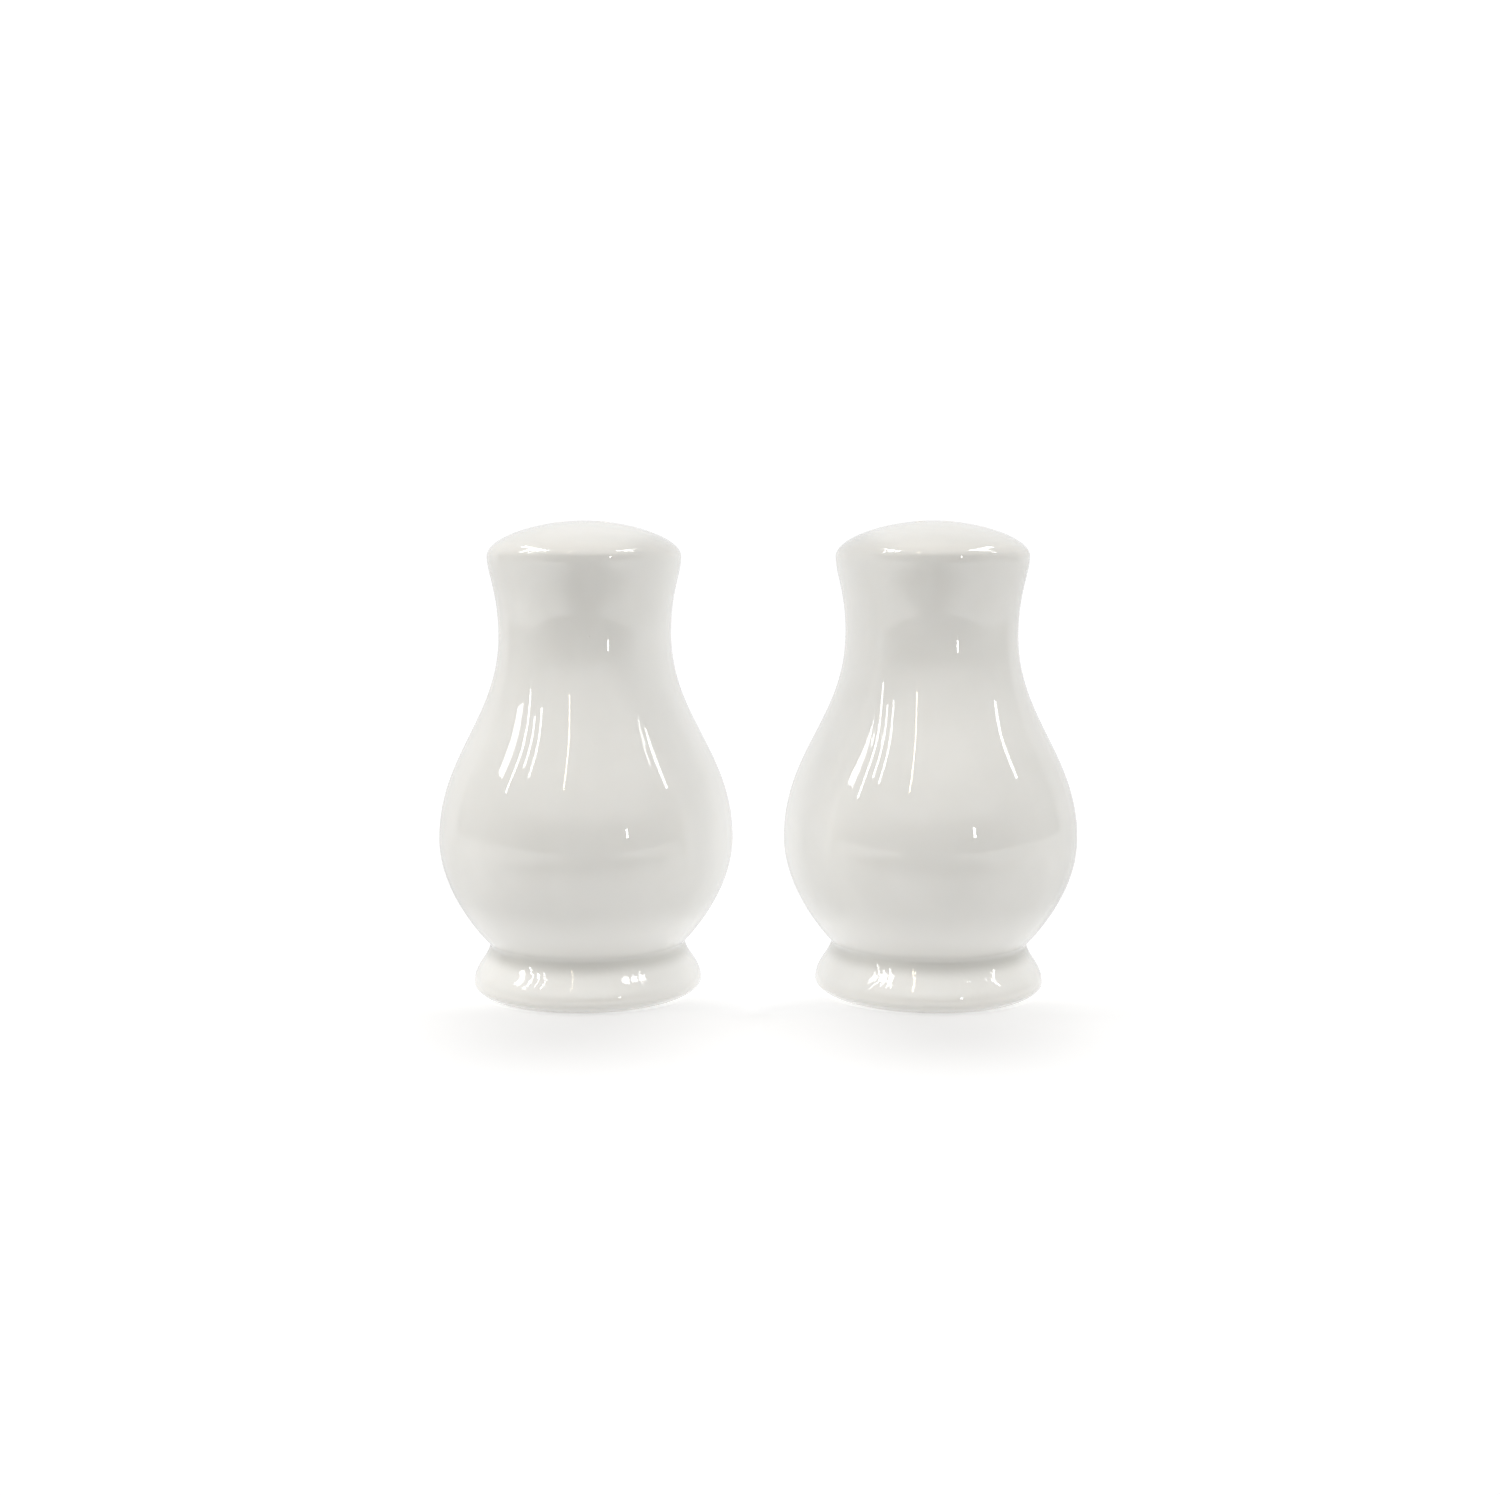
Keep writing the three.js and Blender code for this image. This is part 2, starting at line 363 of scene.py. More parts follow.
def underside_profile():
    """From the foot ring's outer edge in to the filling hole and up to the cavity's floor."""
    neck_r = CREASE["r"] - WALL
    corner = np.array((RING_INNER_R, 0))
    slope = np.array((RECESS_R, RECESS_DEPTH - RECESS_FILLET)) - corner
    slope *= RING_ROUND / np.linalg.norm(slope)
    flat = np.array((RING_ROUND, 0))
    return joined(
        [(RING_OUTER_R, 0)],
        rounded_corner(corner + flat, corner, corner + slope, ROUND_STEPS),
        arc(RECESS_R - RECESS_FILLET, RECESS_DEPTH - RECESS_FILLET, RECESS_FILLET, 0, 90, FILLET_STEPS),
        arc(HOLE_R + HOLE_ROUND, RECESS_DEPTH + HOLE_ROUND, HOLE_ROUND, 270, 180, ROUND_STEPS),
        arc(HOLE_R + HOLE_ROUND, FLOOR_Z - HOLE_ROUND, HOLE_ROUND, 180, 90, ROUND_STEPS),
        arc(neck_r - FLOOR_FILLET, FLOOR_Z + FLOOR_FILLET, FLOOR_FILLET, 270, 350, ROUND_STEPS),
    )


def softened(profile, reach):
    """A profile with its sharp corners rounded, over up to reach on each side of a corner."""
    most = 0.4  # of a neighbouring side, so that two corners never share a point
    points = [profile[0]]
    for before, corner, after in zip(profile, profile[1:], profile[2:]):
        backwards, onwards = before - corner, after - corner
        back_size, on_size = np.linalg.norm(backwards), np.linalg.norm(onwards)
        straightness = -(backwards @ onwards) / (back_size * on_size)
        if straightness > math.cos(MOULD_ANGLE):
            points.append(corner)
            continue
        start = corner + backwards * min(most, reach / back_size)
        end = corner + onwards * min(most, reach / on_size)
        points += list(rounded_corner(start, corner, end, SOFTENED_STEPS))
    return np.array([*points, profile[-1]])


def moved_inwards(curve, distance):
    """A profile that runs downwards, moved square to itself towards the axis."""
    along = np.gradient(curve, axis=0)
    along /= np.linalg.norm(along, axis=1)[:, None]
    return curve + distance * np.stack([along[:, 1], -along[:, 0]], 1)


def cavity_sides():
    """The cavity's wall below its ceiling, from the top down to where the floor's fillet takes over."""
    steps = CAVITY_STEPS
    outline = joined(
        curve_down(SHOULDER, NECK, steps["neck"]),
        curve_down(NECK, BELLY, steps["belly"]),
        under_belly(steps["under_belly"])[:-2],
    )
    return moved_inwards(outline, WALL)[outline[:, 1] < SHOULDER["z"] - CAVITY_BELOW]


def ceiling_curve(steps):
    top = cavity_sides()[0]
    return bezier(
        (0, HEIGHT - WALL),
        (CEILING_REACH, HEIGHT - WALL),
        (top[0], top[1] + CEILING_CORNER),
        top,
        steps,
    )


def cavity_profile():
    """From the cap's edge in the ceiling down to the cavity's floor."""
    ceiling = ceiling_curve(CAVITY_STEPS["ceiling"])
    return joined(
        [(CAP_R, surface_height(ceiling_curve(READING_STEPS), CAP_R))],
        ceiling[ceiling[:, 0] > CAP_R + CAP_STEP / 2],
        cavity_sides(),
    )


# ------------------------------------------------------------ mesh building


class Surface:
    """Vertices and faces gathered from several patches, welded where the patches meet."""

    def __init__(self):
        self.points = []
        self.faces = []

    def add(self, points, faces):
        start = len(self.points)
        self.points += [tuple(p) for p in points]
        self.faces += [tuple(start + i for i in f) for f in faces]

    def add_rings(self, rings):
        """A tube through rings of points, each with the same number of points."""
        count = len(rings[0])
        faces = []
        for k in range(len(rings) - 1):
            for i in range(count):
                j = (i + 1) % count
                faces.append((k * count + i, k * count + j, (k + 1) * count + j, (k + 1) * count + i))
        self.add([p for ring in rings for p in ring], faces)

    def add_turned(self, profile, segments):
        """A profile of (r, z) points turned around the Z axis."""
        turn = np.linspace(0, 2 * math.pi, segments, endpoint=False)
        self.add_rings([[(r * math.cos(a), r * math.sin(a), z) for a in turn] for r, z in profile])

    def to_object(self, name):
        mesh = bpy.data.meshes.new(name)
        mesh.from_pydata(self.points, [], self.faces)
        work = bmesh.new()
        work.from_mesh(mesh)
        bmesh.ops.remove_doubles(work, verts=work.verts, dist=WELD_DISTANCE)
        bmesh.ops.recalc_face_normals(work, faces=work.faces)
        if work.calc_volume(signed=True) < 0:
            bmesh.ops.reverse_faces(work, faces=work.faces)
        work.to_mesh(mesh)
        work.free()
        mesh.shade_smooth()
        piece = bpy.data.objects.new(name, mesh)
        bpy.context.scene.collection.objects.link(piece)
        return piece


def circle(centre, r, segments):
    turn = np.linspace(0, 2 * math.pi, segments, endpoint=False)
    return [(centre[0] + r * math.cos(a), centre[1] + r * math.sin(a)) for a in turn]


def hole_centres(holes):
    """Evenly spaced, the first one at the back."""
    turns = [math.radians(90 + 360 / holes["count"] * i) for i in range(holes["count"])]
    return [(holes["circle"] * math.cos(a), holes["circle"] * math.sin(a)) for a in turns]


def add_cap(surface, curve, holes):
    """The disc of a dome inside CAP_R, with a round gap where each hole's lip starts."""
    centres = hole_centres(holes)
    gap = holes["r"] + holes["lip"]
    points = circle((0, 0), CAP_R, SEGMENTS)
    edges = [(i, (i + 1) % SEGMENTS) for i in range(SEGMENTS)]
    for centre in centres:
        start = len(points)
        points += circle(centre, gap, HOLE_SEGMENTS)
        edges += [(start + i, start + (i + 1) % HOLE_SEGMENTS) for i in range(HOLE_SEGMENTS)]
        points += circle(centre, gap + CAP_STEP / 2, HOLE_SEGMENTS)
    for r in np.arange(0, CAP_R - CAP_STEP / 2, CAP_STEP):
        for p in circle((0, 0), r, max(1, round(2 * math.pi * r / CAP_STEP))):
            if all(math.dist(p, c) > gap + CAP_STEP for c in centres):
                points.append(p)
    all_triangles, precision = 0, 1e-9
    flat, _, faces, *_ = delaunay_2d_cdt([Vector(p) for p in points], edges, [], all_triangles, precision)
    kept = []
    for face in faces:
        middle = sum((flat[i] for i in face), Vector((0, 0))) / len(face)
        if all(math.dist(middle, c) > IN_GAP * gap for c in centres):
            kept.append(face)
    surface.add([(p.x, p.y, float(surface_height(curve, p.length))) for p in flat], kept)


def add_hole_wall(surface, outside, inside, holes):
    """Each hole's wall, from its lip in the dome down to its lip in the ceiling."""
    lip = holes["lip"]
    for centre in hole_centres(holes):
        rings = []
        for curve, sign in ((outside, -1), (inside, 1)):
            side = []
            for a in np.linspace(0, math.pi / 2, ROUND_STEPS + 1):
                ring = circle(centre, holes["r"] + lip * (1 - math.sin(a)), HOLE_SEGMENTS)
                sunk = sign * lip * (1 - math.cos(a))
                heights = [float(surface_height(curve, math.hypot(x, y))) + sunk for x, y in ring]
                side.append([(x, y, z) for (x, y), z in zip(ring, heights)])
            rings += side if sign < 0 else side[::-1]
        surface.add_rings(rings)


def uneven(piece, seed):
    """Moves a mesh's points by a smooth noise, which fades out towards the table."""
    noise.seed_set(seed)  # not 0: with that seed, or with none, the noise starts from the clock
    shift = seed * Vector(WOBBLE_SHIFT)
    for v in piece.data.vertices:
        fade = min(1.0, max(0.0, (v.co.z - WOBBLE_FROM) / WOBBLE_FADE))
        v.co += noise.noise_vector(v.co / WOBBLE_LENGTH + shift) * WOBBLE * fade


def nearness(distance, size):
    """1 at no distance, and falling away smoothly over about size."""
    return math.exp(-((distance / size) ** 2))


def glaze_depth_and_shade(piece, holes):
    """Writes how thick the glaze lies, which also places the crease's painted shade: 1 in the crease, 0 on
    open walls, -1 on outward edges.
    """
    crease = Vector((CREASE["r"], CREASE["z"])) + Vector(POOL_AND_SHADE_FROM_CREASE)
    ridge = Vector((SHOULDER["r"], SHOULDER["z"])) + Vector(THIN_FROM_SHOULDER)
    foot_edge = Vector((FOOT["r"], FOOT["z"]))
    centres = [Vector(c) for c in hole_centres(holes)]
    thinnest = holes["r"] + THIN_IN_LIP * holes["lip"]
    values = []
    for v in piece.data.vertices:
        place = Vector((v.co.xy.length, v.co.z))
        # Painted shade: the crease, where the glaze pools, is marked to be painted darker.
        pool_and_shade = nearness((place - crease).length, POOL_AND_SHADE_SIZE)
        thin = nearness((place - ridge).length, THIN_AT_SHOULDER)
        thin = max(thin, nearness((place - foot_edge).length, THIN_AT_FOOT))
        if v.co.z > SHOULDER["z"]:
            from_hole = min((v.co.xy - c).length for c in centres)
            thin = max(thin, nearness(from_hole - thinnest, THIN_AT_HOLES))
        values.append(pool_and_shade - thin)
    depth = piece.data.attributes.new("glaze_depth_and_shade", "FLOAT", "POINT")
    depth.data.foreach_set("value", values)


def porcelain_body(name, holes, seed):
    outside, inside = dome_curve(READING_STEPS), ceiling_curve(READING_STEPS)
    surface = Surface()
    surface.add_turned(outer_profile(), SEGMENTS)
    surface.add_turned(underside_profile(), SEGMENTS)
    surface.add_turned(joined([underside_profile()[-1]], cavity_profile()[::-1]), SEGMENTS)
    add_cap(surface, outside, holes)
    add_cap(surface, inside, holes)
    add_hole_wall(surface, outside, inside, holes)
    piece = surface.to_object(name)
    glaze_depth_and_shade(piece, holes)
    uneven(piece, seed)
    return piece


def web_points():
    """Upright plate across the plug's hollow, with a rounded lower edge, as rings along X."""
    half = WEB_THICKNESS / 2
    top = PLUG_TOP - PLUG_WALL / 2
    lower = arc(0, FLANGE_BOTTOM + WEB_INSET + half, half, 180, 360, HALF_ROUND_STEPS)
    section = [(half, top), (-half, top), *lower]
    reach = PLUG_R - PLUG_WALL / 2
    return [[(x, y, z) for y, z in section] for x in (-reach, reach)]


def stopper(name, centre_x):
    """Turned flange and hollow plug with the turned profile's edges softened as in moulding, and the web
    fused in.
    """
    hollow_r = PLUG_R - PLUG_WALL
    hollow_top = PLUG_TOP - PLUG_WALL
    beads = [
        bezier(
            (PLUG_R, z - BEAD_HALF),
            (BEAD_R + BEAD_CROWN, z - BEAD_HALF / 2),
            (BEAD_R + BEAD_CROWN, z + BEAD_HALF / 2),
            (PLUG_R, z + BEAD_HALF),
            BEAD_STEPS,
        )
        for z in BEAD_Z
    ]
    flange_middle = (FLANGE_TOP + FLANGE_BOTTOM) / 2
    flange_round = FLANGE_THICKNESS / 2
    gate_z = PLUG_TOP - GATE_DEPTH
    profile = joined(
        [(0, hollow_top), (hollow_r, hollow_top), (hollow_r, FLANGE_BOTTOM)],
        arc(FLANGE_R - flange_round, flange_middle, flange_round, -90, 90, HALF_ROUND_STEPS),
        [(PLUG_R, FLANGE_TOP)],
        *beads,
        arc(PLUG_R - PLUG_LEAD, PLUG_TOP - PLUG_LEAD, PLUG_LEAD, 0, 90, LEAD_STEPS),
        [(GATE_R, PLUG_TOP), (GATE_R - GATE_DEPTH, gate_z), (0, gate_z)],
    )
    turned = Surface()
    turned.add_turned(softened(profile, MOULD_ROUND), SEGMENTS)
    piece = turned.to_object(name)
    plate = Surface()
    rings = web_points()
    plate.add_rings(rings)
    count = len(rings[0])
    plate.add([p for ring in rings for p in ring], [range(count), range(count, 2 * count)])
    web = plate.to_object(name + "_web")

    union = piece.modifiers.new("web", "BOOLEAN")
    union.operation = "UNION"
    union.object = web
    union.solver = "EXACT"
    made = bpy.data.meshes.new_from_object(piece.evaluated_get(bpy.context.evaluated_depsgraph_get()))
    piece.modifiers.clear()
    piece.data = made
    bpy.data.objects.remove(web)
    made.transform(Matrix.Translation((centre_x, 0, 0)))
    made.shade_smooth()
    made.set_sharp_from_angle(angle=SHARP_ANGLE)
    return piece


# ------------------------------------------------------------ materials


class Nodes:
    """A node tree, with short calls for the nodes used here."""

    def __init__(self, tree):
        self.tree = tree

    def new(self, kind):
        return self.tree.nodes.new("ShaderNode" + kind)

    def link(self, source, target):
        self.tree.links.new(source, target)

    def split(self, vector):
        """The vector's X, Y and Z."""
        node = self.new("SeparateXYZ")
        self.link(vector, node.inputs["Vector"])
        return node.outputs

    def remap(self, source, low, high, new_low, new_high, smooth=False):
        """A value that goes from new_low at low to new_high at high, and stays there outside them."""
        node = self.new("MapRange")
        node.interpolation_type = "SMOOTHSTEP" if smooth else "LINEAR"
        for name, value in (
            ("From Min", low),
            ("From Max", high),
            ("To Min", new_low),
            ("To Max", new_high),
        ):
            node.inputs[name].default_value = value
        self.link(source, node.inputs["Value"])
        return node.outputs["Result"]

    def math(self, operation, a, b=0):
        node = self.new("Math")
        node.operation = operation
        for socket, value in zip(node.inputs, (a, b)):
            if isinstance(value, (int, float)):
                socket.default_value = value
            else:
                self.link(value, socket)
        return node.outputs["Value"]

    def mix(self, share, a, b):
        """Colour a where share is 0, b where it is 1. a and b are colours or sockets."""
        node = self.new("Mix")
        node.data_type = "RGBA"
        self.link(share, node.inputs["Factor"])
        for socket, value in zip((node.inputs[6], node.inputs[7]), (a, b)):
            if isinstance(value, tuple):
                socket.default_value = (*value, 1)
            else:
                self.link(value, socket)
        return node.outputs[2]


class Material(Nodes):
    """A material's node tree, around its Principled shader."""

    def __init__(self, name):
        self.material = bpy.data.materials.new(name)
        self.material.use_nodes = True
        super().__init__(self.material.node_tree)
        self.surface = self.tree.nodes["Principled BSDF"]
        self.place = self.new("TexCoord").outputs["Object"]

    def noise(self, scale, detail=2.0, roughness=0.5):
        """Smooth noise about 0.5, with scale in waves per metre."""
        node = self.new("TexNoise")
        node.inputs["Scale"].default_value = scale
        node.inputs["Detail"].default_value = detail
        node.inputs["Roughness"].default_value = roughness
        self.link(self.place, node.inputs["Vector"])
        return node.outputs["Fac"]

    def spots(self, scale, inner, outer):
        """0 within inner of scattered points, and 1 past outer, both in parts of their spacing."""
        node = self.new("TexVoronoi")
        node.inputs["Scale"].default_value = scale
        self.link(self.place, node.inputs["Vector"])
        return self.remap(node.outputs["Distance"], inner, outer, 0, 1, smooth=True)

    def attribute(self, name):
        node = self.new("Attribute")
        node.attribute_name = name
        return node.outputs["Fac"]

    def bump(self, height, distance, under=None):
        """Relief of a 0 to 1 height, distance metres deep."""
        node = self.new("Bump")
        node.inputs["Distance"].default_value = distance
        self.link(height, node.inputs["Height"])
        if under is not None:
            self.link(under, node.inputs["Normal"])
        return node.outputs["Normal"]

    def set(self, **values):
        """Sets or links the shader's sockets, named with _ for each space."""
        for name, value in values.items():
            socket = self.surface.inputs[name.replace("_", " ")]
            if isinstance(value, bpy.types.NodeSocket):
                self.link(value, socket)
            elif isinstance(value, tuple) and len(value) == 3 and socket.type == "RGBA":
                socket.default_value = (*value, 1)
            else:
                socket.default_value = value

    def only_glow(self, strength):
        """Black, without gloss, and glowing."""
        self.set(Base_Color=BLACK, Specular_IOR_Level=0, Emission_Color=WHITE, Emission_Strength=strength)


def glaze_material():
    """White glaze: glassy, slightly uneven, warmer where thin, with painted shade in the crease where it
    pools and painted light low down.
    """
    n = Material("porcelain_glaze")
    height = n.split(n.place)["Z"]
    depth = n.attribute("glaze_depth_and_shade")
    # Painted shade: the crease is painted darker where the glaze pools, beyond the thick glaze's own tint.
    pooled_and_shaded = n.remap(depth, 0.05, 1.0, 0, 0.8)
    thin = n.remap(depth, -0.05, -1.0, 0, 0.7)
    cloud = n.remap(n.noise(70, 3), 0.35, 0.65, 0, 1, smooth=True)
    colour = n.mix(cloud, GLAZE_DARKER, GLAZE_LIGHTER)
    # Painted light: the glaze is painted whiter low down, towards the foot.
    low = n.remap(height, PAINTED_LIGHT_FROM, PAINTED_LIGHT_FULL, 0, PAINTED_LIGHT_SHARE, smooth=True)
    colour = n.mix(low, colour, GLAZE_PAINTED_LIGHT_LOW)
    colour = n.mix(pooled_and_shaded, colour, GLAZE_POOLED_AND_SHADED)
    colour = n.mix(thin, colour, GLAZE_THIN)
    smear = n.remap(n.noise(160, 4, 0.6), 0.4, 0.75, 0.0, 0.04)
    n.set(Base_Color=colour, Roughness=n.math("ADD", smear, 0.03))
    n.set(IOR=GLAZE_IOR, Coat_Weight=0.5, Coat_Roughness=0.02, Coat_IOR=GLAZE_IOR)
    n.set(Subsurface_Weight=0.12, Subsurface_Radius=(1.0, 0.85, 0.7), Subsurface_Scale=1.2 * MM)

    # Relief: long waves where the glaze ran, fine orange peel, a few pinholes, and ripples on the foot.
    waves = n.bump(n.noise(210, 1.5), 0.010 * MM)
    peel = n.bump(n.noise(1400, 2), 0.0012 * MM, waves)
    pitted = n.bump(n.spots(130, 0.010, 0.022), 0.03 * MM, peel)
    on_foot = n.remap(height, FOOT_RIPPLE_TOP, FOOT_RIPPLE_TOP - FOOT_RIPPLE_FADE, 0, 1, smooth=True)
    ripple = n.math("MULTIPLY", n.noise(FOOT_RIPPLE_SCALE, 1.5), on_foot)
    n.set(Normal=n.bump(ripple, FOOT_RIPPLE, pitted))
    return n.material


def bisque_material():
    """Bare fired clay of the foot ring: matt, sandy and a little scuffed."""
    n = Material("porcelain_unglazed")
    grain = n.noise(2600, 4, 0.7)
    scuff = n.remap(n.noise(420, 5, 0.7), 0.52, 0.72, 0, 0.7)
    colour = n.mix(n.remap(grain, 0.3, 0.7, 0, 1), CLAY_DARKER, CLAY_LIGHTER)
    colour = n.mix(scuff, colour, CLAY_SCUFFED)
    n.set(Base_Color=colour, Roughness=0.85)
    n.set(Normal=n.bump(grain, 0.02 * MM))
    return n.material


def plastic_material():
    """Natural polyethylene: milky, waxy, with a fine sparked mould texture."""
    n = Material("stopper_polyethylene")
    flow = n.remap(n.noise(90, 3), 0.35, 0.65, 0, 1)
    colour = n.mix(flow, PLASTIC_DARKER, PLASTIC_LIGHTER)
    rough = n.remap(n.noise(350, 3), 0.3, 0.7, 0.34, 0.48)
    n.set(Base_Color=colour, Roughness=rough)
    n.set(IOR=PLASTIC_IOR)
    n.set(Subsurface_Weight=0.35, Subsurface_Radius=(1.0, 1.0, 0.9), Subsurface_Scale=1.5 * MM)
    n.set(Normal=n.bump(n.noise(4200, 3, 0.6), 0.006 * MM))
    return n.material


# ------------------------------------------------------------ the object

glaze = glaze_material()
bisque = bisque_material()
plastic = plastic_material()


def finish_foot_ring(piece):
    """Bare clay, the second material, on the faces that stand on the table."""
    for face in piece.data.polygons:
        on_ring = RING_INNER_R < face.center.xy.length < RING_OUTER_R + BARE_PAST_RING
        face.material_index = int(on_ring and face.center.z < BARE_HEIGHT)


def axis_x(node):
    """Where a CAD node's axis stands along X."""
    low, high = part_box(node)
    return (low.x + high.x) / 2


def make_shaker(kind, holes, seed):
    centre_x = axis_x(kind + "_body")

    body = porcelain_body(kind + "_porcelain", holes, seed)
    body.data.materials.append(glaze)
    body.data.materials.append(bisque)
    finish_foot_ring(body)
    body.data.transform(Matrix.Translation((centre_x, 0, 0)))
    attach(body, kind + "_shaker")
    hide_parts(kind + "_body")

    plug = stopper(kind + "_plug", centre_x)
    plug.data.materials.clear()
    plug.data.materials.append(plastic)
    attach(plug, kind + "_stopper")
    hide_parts(kind + "_stopper")


make_shaker("salt", SALT_HOLES, 1)
make_shaker("pepper", PEPPER_HOLES, 2)


# ------------------------------------------------------------ studio


def flat_sheet(name, corners):
    mesh = bpy.data.meshes.new(name)
    mesh.from_pydata(corners, [], [(0, 1, 2, 3)])
    sheet = bpy.data.objects.new(name, mesh)
    bpy.context.scene.collection.objects.link(sheet)
    return sheet


def table_corners(height):
    """The table ends a short way in front of the shakers."""
    left, right, front, back = -TABLE_SIDE, TABLE_SIDE, -TABLE_FRONT, TABLE_BACK
    return [(x, y, height) for x, y in ((left, front), (right, front), (right, back), (left, back))]


def distance(n, across, along):
    """Length of a level step, as a socket."""
    return n.math("SQRT", n.math("ADD", n.math("POWER", across, 2), n.math("POWER", along, 2)))


def table_place(n):
    """How far out past the nearer shaker's axis a point is, and how far back, as sockets."""
    place = n.split(n.place)
    return n.math("SUBTRACT", n.math("ABSOLUTE", place["X"]), axis_x("pepper_body")), place["Y"]


def add_table():
    """The light table that the shakers stand on."""
    floor = flat_sheet("floor", table_corners(0))
    n = Material("light_table")
    aside, along = table_place(n)
    from_shade = distance(n, aside, n.math("ADD", along, SHADE_PLACE))
    shade = n.remap(from_shade, 0, SHADE_REACH, -SHADE_DEPTH, 0, smooth=True)
    under_foot = n.remap(distance(n, aside, along), *UNDER_EDGE, UNDER_GLOW, 0, smooth=True)
    plain = n.remap(along, *TABLE_FAR, TABLE_GLOW, TABLE_GLOW_FAR, smooth=True)
    glow = n.math("ADD", n.math("ADD", shade, under_foot), plain)
    n.set(Base_Color=(TABLE_ALBEDO, TABLE_ALBEDO, TABLE_ALBEDO), Roughness=0.9, Specular_IOR_Level=0.1)
    n.set(Emission_Color=WHITE, Emission_Strength=glow)
    floor.data.materials.append(n.material)


def add_between_card(name, glow):
    """An upright card in the middle, which glows on both sides."""
    front, back, top = BETWEEN_FRONT, BETWEEN_BACK, BETWEEN_TOP
    card = flat_sheet(name, [(0, front, 0), (0, back, 0), (0, back, top), (0, front, top)])
    n = Material(name)
    n.only_glow(glow)
    card.data.materials.append(n.material)
    card.visible_camera = False
    return card


def tent_wall(n, height, stops):
    """A wall's brightness by the sine of the elevation, as a share of TENT_FULL_SCALE."""
    node = n.new("ValToRGB")
    node.color_ramp.interpolation = "EASE"
    elements = node.color_ramp.elements
    for place, _ in stops[1:-1]:
        elements.new(place)
    for element, (place, brightness) in zip(elements, stops):
        element.position = place
        element.color = (*[brightness / TENT_FULL_SCALE] * 3, 1)
    n.link(height, node.inputs["Fac"])
    return node.outputs["Color"]


def how_far_back(n, towards):
    """A direction's share along Y once it is laid level, as a socket."""
    level = n.new("VectorMath")
    level.operation = "MULTIPLY"
    level.inputs[1].default_value = (1, 1, 0)
    n.link(towards, level.inputs[0])
    unit = n.new("VectorMath")
    unit.operation = "NORMALIZE"
    n.link(level.outputs["Vector"], unit.inputs[0])
    return n.split(unit.outputs["Vector"])["Y"]


def light_room():
    """A white tent with a dimmer front. The camera sees plain white, whichever way it looks."""
    world = bpy.data.worlds.new("studio")
    bpy.context.scene.world = world
    world.use_nodes = True
    world.node_tree.nodes.clear()
    n = Nodes(world.node_tree)
    towards = n.new("TexCoord").outputs["Generated"]
    height = n.split(towards)["Z"]
    back = how_far_back(n, towards)
    front_wall, side_wall, back_wall = (tent_wall(n, height, w) for w in (TENT_FRONT, TENT_SIDE, TENT_BACK))
    sides = n.mix(n.remap(back, *FRONT_TO_SIDE, 0, 1, smooth=True), front_wall, side_wall)
    whole = n.mix(n.remap(back, *SIDE_TO_BACK, 0, 1, smooth=True), sides, back_wall)

    seen = n.new("Background")
    seen.inputs["Color"].default_value = (*WHITE, 1)
    seen.inputs["Strength"].default_value = BACKGROUND
    lit = n.new("Background")
    lit.inputs["Strength"].default_value = TENT_FULL_SCALE
    n.link(whole, lit.inputs["Color"])
    choose = n.new("MixShader")
    n.link(n.new("LightPath").outputs["Is Camera Ray"], choose.inputs[0])
    n.link(lit.outputs["Background"], choose.inputs[1])
    n.link(seen.outputs["Background"], choose.inputs[2])
    n.link(choose.outputs["Shader"], n.new("OutputWorld").inputs["Surface"])


def add_lamp(name, place, target, width, height, radiance, colour):
    """A rectangular lamp that faces target."""
    data = bpy.data.lights.new(name, "AREA")
    data.shape = "RECTANGLE"
    data.size = width
    data.size_y = height
    data.color = colour
    data.energy = radiance * LAMP_ENERGY * width * height
    lamp = bpy.data.objects.new(name, data)
    bpy.context.scene.collection.objects.link(lamp)
    lamp.location = place
    lamp.rotation_euler = (target - place).to_track_quat("-Z", "Y").to_euler()
    lamp.visible_camera = False
    return lamp


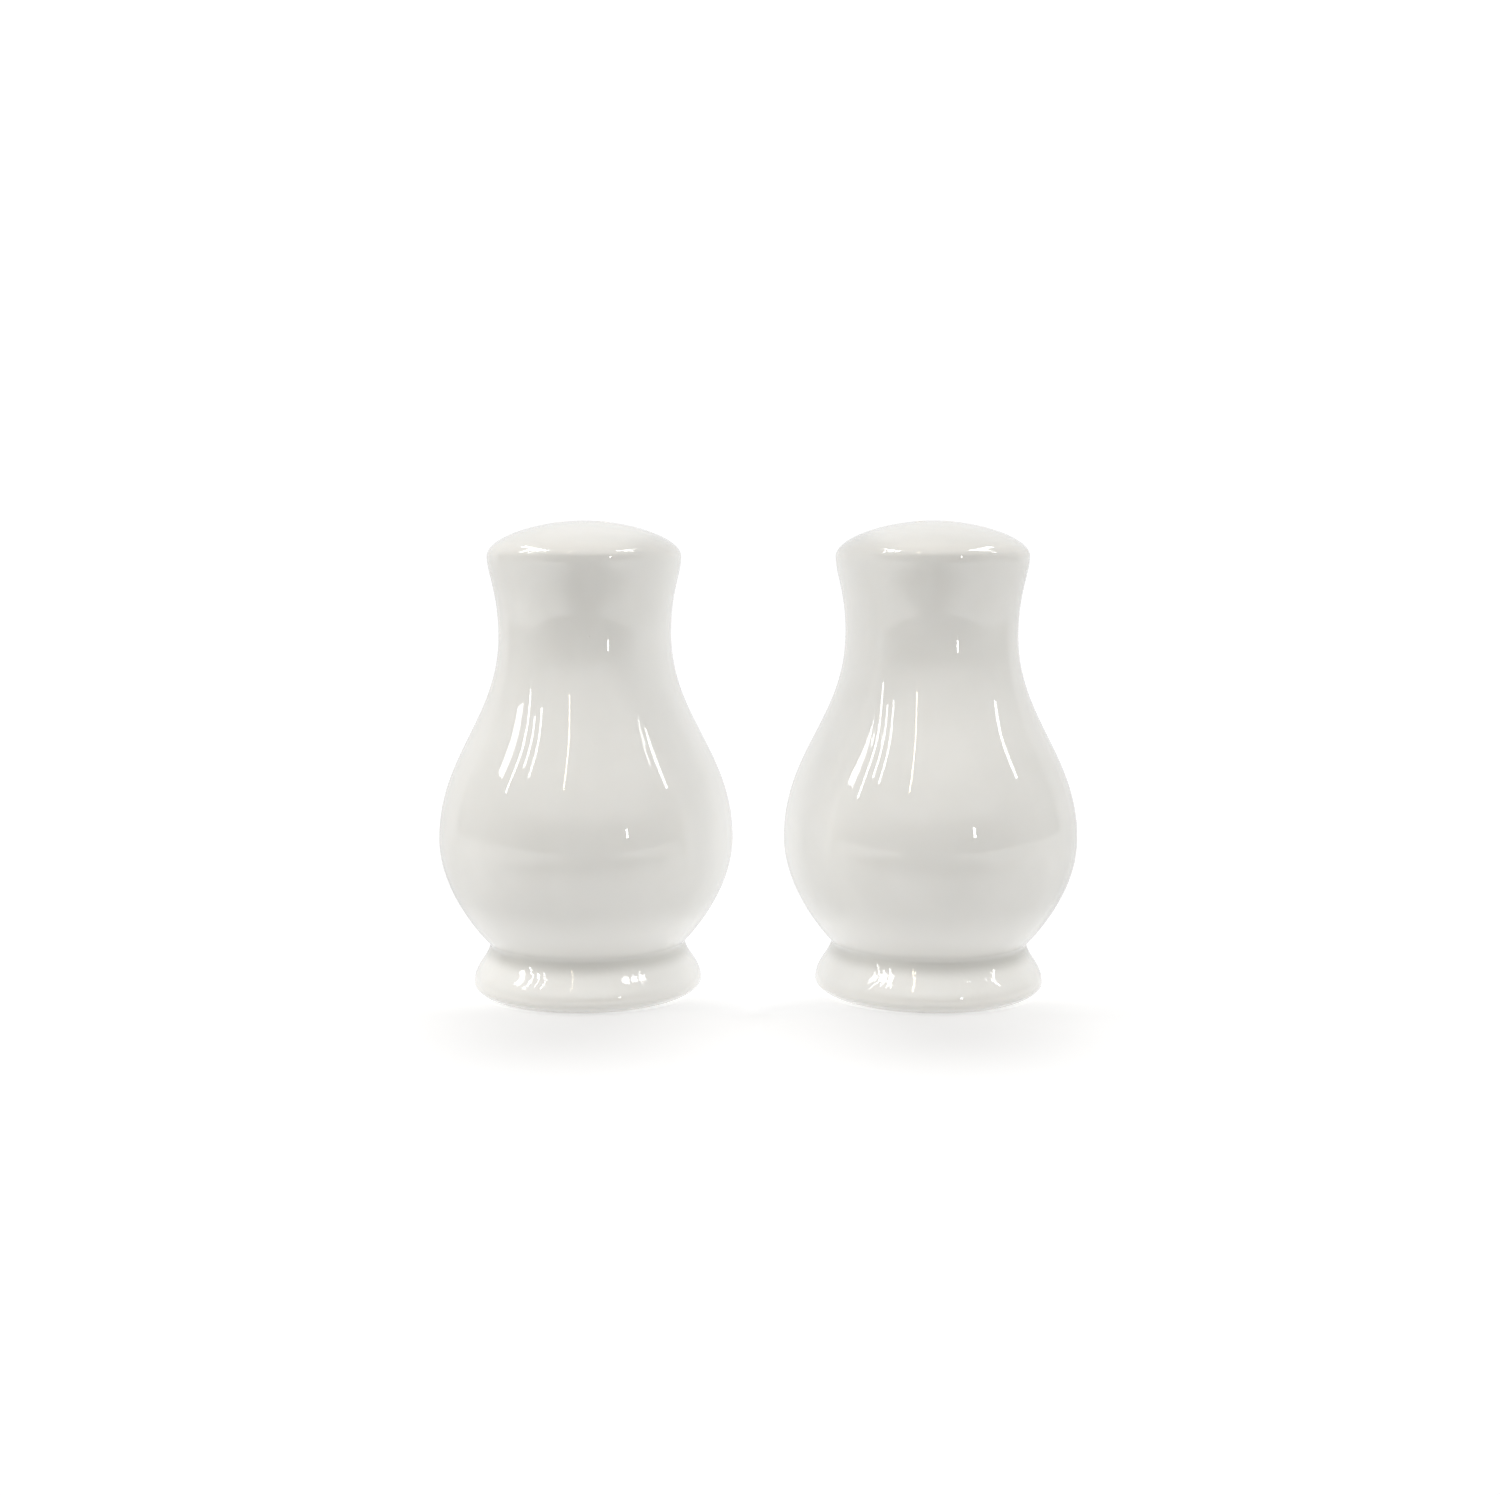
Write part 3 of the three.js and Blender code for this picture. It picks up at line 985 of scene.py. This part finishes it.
def add_far_lamps():
    middle = Vector((0, 0, HEIGHT / 2))
    both_sides = [dict(lamp, azimuth=side * lamp["azimuth"]) for lamp in FOOT_LAMPS for side in (-1, 1)]
    for i, lamp in enumerate([*LAMPS, *both_sides]):
        turn = math.radians(lamp["azimuth"])
        rise = math.radians((lamp["low"] + lamp["high"]) / 2)
        level = math.cos(rise)
        towards = Vector((math.sin(turn) * level, -math.cos(turn) * level, math.sin(rise)))
        width = LAMP_DISTANCE * math.radians(lamp["wide"])
        height = 2 * LAMP_DISTANCE * math.tan(math.radians((lamp["high"] - lamp["low"]) / 2))
        place = middle + LAMP_DISTANCE * towards
        added = add_lamp(f"lamp_{i}", place, middle, width, height, lamp["radiance"], LAMP_WHITE)
        added.visible_diffuse = lamp in LAMPS


def add_near_lamps():
    for i, lamp in enumerate(NEAR_LAMPS):
        place = Vector((lamp["x"], NEAR_LAMP_Y, (lamp["bottom"] + lamp["top"]) / 2))
        height = lamp["top"] - lamp["bottom"]
        target = Vector((0, 0, place.z))
        radiance, colour = lamp["radiance"], lamp["colour"]
        add_lamp(f"near_lamp_{i}", place, target, lamp["width"], height, radiance, colour)


def add_cover():
    """Only mirrored: dark straight in front of each shaker, bright beside it, a little dimmer behind."""
    cover = flat_sheet("table_cover", table_corners(COVER_HEIGHT))
    n = Material("dimming_cover")
    aside, along = table_place(n)
    aside = n.remap(n.math("ABSOLUTE", aside), 0, COVER_SPREAD, 0, 1, smooth=True)
    close = n.remap(along, -COVER_FULL, -COVER_NEAR, 0, 1, smooth=True)
    glow = n.remap(n.math("MAXIMUM", aside, close), 0, 1, COVER_DARK, COVER_BRIGHT)
    glow = n.math("MULTIPLY", glow, n.remap(along, 0, COVER_FADE, 1, COVER_BEHIND, smooth=True))
    n.only_glow(glow)
    cover.data.materials.append(n.material)
    cover.visible_camera = False
    cover.visible_diffuse = False
    cover.visible_shadow = False


def add_camera():
    camera = bpy.data.objects.new("camera", bpy.data.cameras.new("camera"))
    bpy.context.scene.collection.objects.link(camera)
    camera.location = CAMERA_PLACE
    camera.rotation_euler = (math.radians(90 - CAMERA_TILT), 0, 0)
    camera.data.lens = CAMERA_LENS
    camera.data.clip_start = CAMERA_CLIP
    bpy.context.scene.camera = camera


add_table()
light_room()
add_far_lamps()
add_near_lamps()
add_cover()
add_between_card("between_card", BETWEEN_GLOW).visible_glossy = False
add_between_card("between_mirrored", BETWEEN_MIRRORED).visible_diffuse = False
add_camera()
bpy.context.scene.view_settings.view_transform = "Standard"
